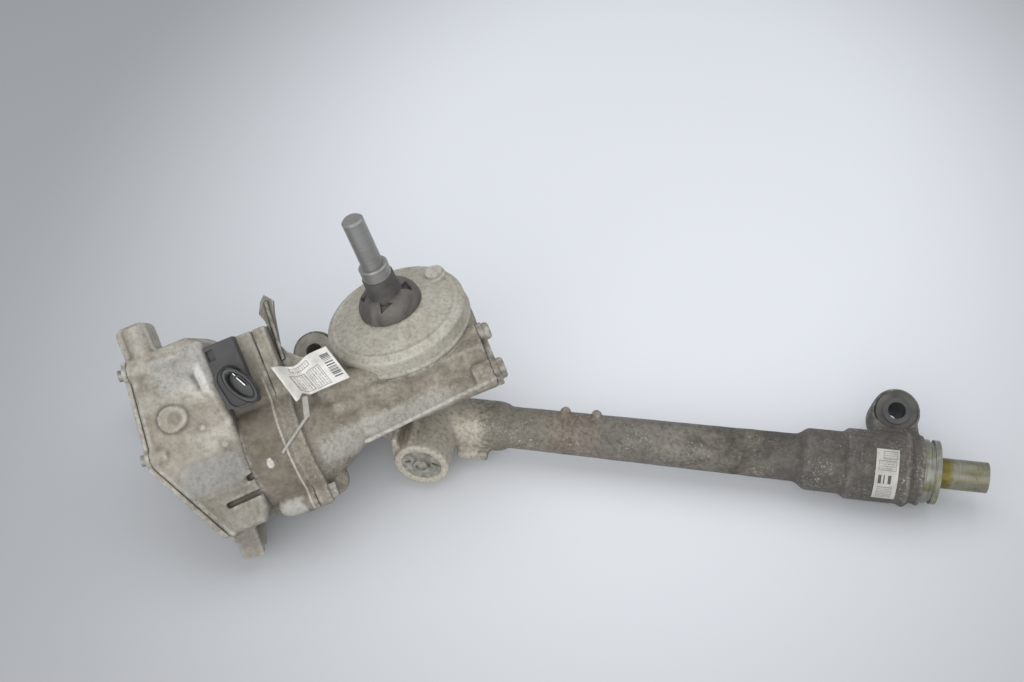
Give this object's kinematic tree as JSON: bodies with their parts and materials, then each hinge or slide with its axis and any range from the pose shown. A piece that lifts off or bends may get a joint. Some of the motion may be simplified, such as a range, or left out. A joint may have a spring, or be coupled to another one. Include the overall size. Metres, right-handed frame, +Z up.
{
  "type": "electric power steering rack",
  "caption": "Rack and pinion steering gear with a motor, worm drive and control unit, two rubber-bushed mounts and a leaning input shaft.",
  "frame": {"origin": "middle of the right mounting bore", "axes": "+X along the rack towards its plain end, -Y the front with the rack guide, +Z up"},
  "size_m": [0.717, 0.245, 0.2343],
  "materials": {
    "housing_casting": "rough dull cast skin with grime",
    "aluminium_casting": "rough cast, weathered",
    "zinc_steel": "zinc plated, dull",
    "bearing_steel": "ground",
    "shaft_steel": "turned, slightly rusty",
    "greased_steel": "ground, under old grease",
    "lamination_steel": "stacked sheet",
    "black_rubber": "matte",
    "brown_rubber": "matte, dusty",
    "black_plastic": "moulded",
    "wheel_nylon": "moulded rim",
    "green_board": "lacquered",
    "brass_pins": "bright",
    "clear_plastic": "thin strip",
    "paper": "coated paper"
  },
  "bodies": {
    "housing": {"bush_rubber_left": "black_rubber", "bush_rubber_right": "black_rubber", "bush_sleeve_left": "bearing_steel", "bush_sleeve_right": "bearing_steel", "cap_screws": "zinc_steel", "case_bolts": "zinc_steel", "circuit_board": "green_board", "connector": "black_plastic", "connector_pins": "brass_pins", "cover_plug": "zinc_steel", "dust_boot": "brown_rubber", "ecu_cover": "zinc_steel", "ecu_cover_screws": "zinc_steel", "ecu_housing": "aluminium_casting", "end_housing": "housing_casting", "end_ring_left": "zinc_steel", "end_ring_right": "zinc_steel", "gear_housing": "aluminium_casting", "harness_bracket": "zinc_steel", "motor_bolts": "zinc_steel", "motor_housing": "aluminium_casting", "motor_stator": "lamination_steel", "pinion_lower_bearing": "bearing_steel", "pinion_upper_bearing": "bearing_steel", "rack_bush": "black_plastic", "rack_housing": "housing_casting", "rack_tube": "housing_casting", "sensor_cover": "aluminium_casting", "shaft_seal": "black_rubber", "tag": "paper", "tag_strap": "clear_plastic", "torque_sensor": "black_plastic", "worm_bearing_far": "bearing_steel", "worm_bearing_near": "bearing_steel", "worm_cap": "aluminium_casting", "yoke_plug": "zinc_steel", "yoke_spring": "bearing_steel"},
    "worm": {"worm_shaft": "bearing_steel", "motor_coupling": "black_plastic", "motor_rotor": "lamination_steel"},
    "pinion": {"pinion_shaft": "bearing_steel", "worm_wheel": "wheel_nylon", "torsion_bar": "bearing_steel"},
    "input": {"input_shaft": "shaft_steel"},
    "rack": {"rack_bar": "greased_steel"},
    "yoke": {"yoke": "aluminium_casting"}
  },
  "joints": [
    {"name": "worm_spin", "type": "hinge", "parent": "housing", "child": "worm", "pos_m": [-0.38102, -0.0846, 0.06517], "axis": [0.8733, 0.4226, 0.2422], "range_deg": [-5085.31, 15255.94]},
    {"name": "steering_spin", "type": "hinge", "parent": "housing", "child": "pinion", "pos_m": [-0.384, -0.0411, 0], "axis": [-0.2672, 0, 0.9636], "range_deg": [-254.77, 763.3]},
    {"name": "rack_slide", "type": "slide", "parent": "housing", "child": "rack", "axis": [1, 0, 0], "range_m": [-0.0351, 0.1051]},
    {"name": "torsion_twist", "type": "hinge", "parent": "pinion", "child": "input", "pos_m": [-0.384, -0.0411, 0], "axis": [-0.2672, 0, 0.9636], "range_deg": [-4, 4], "stiffness_Nm_per_rad": 115},
    {"name": "yoke_play", "type": "slide", "parent": "housing", "child": "yoke", "axis": [0, -1, 0], "range_m": [0, 0.00015], "stiffness_N_per_m": 5000, "springref_m": -0.002}
  ],
  "couplings": [
    {"joint": "steering_spin", "follows": "rack_slide", "rad_per_m": 126.79},
    {"joint": "worm_spin", "follows": "rack_slide", "rad_per_m": 2535.9}
  ]
}
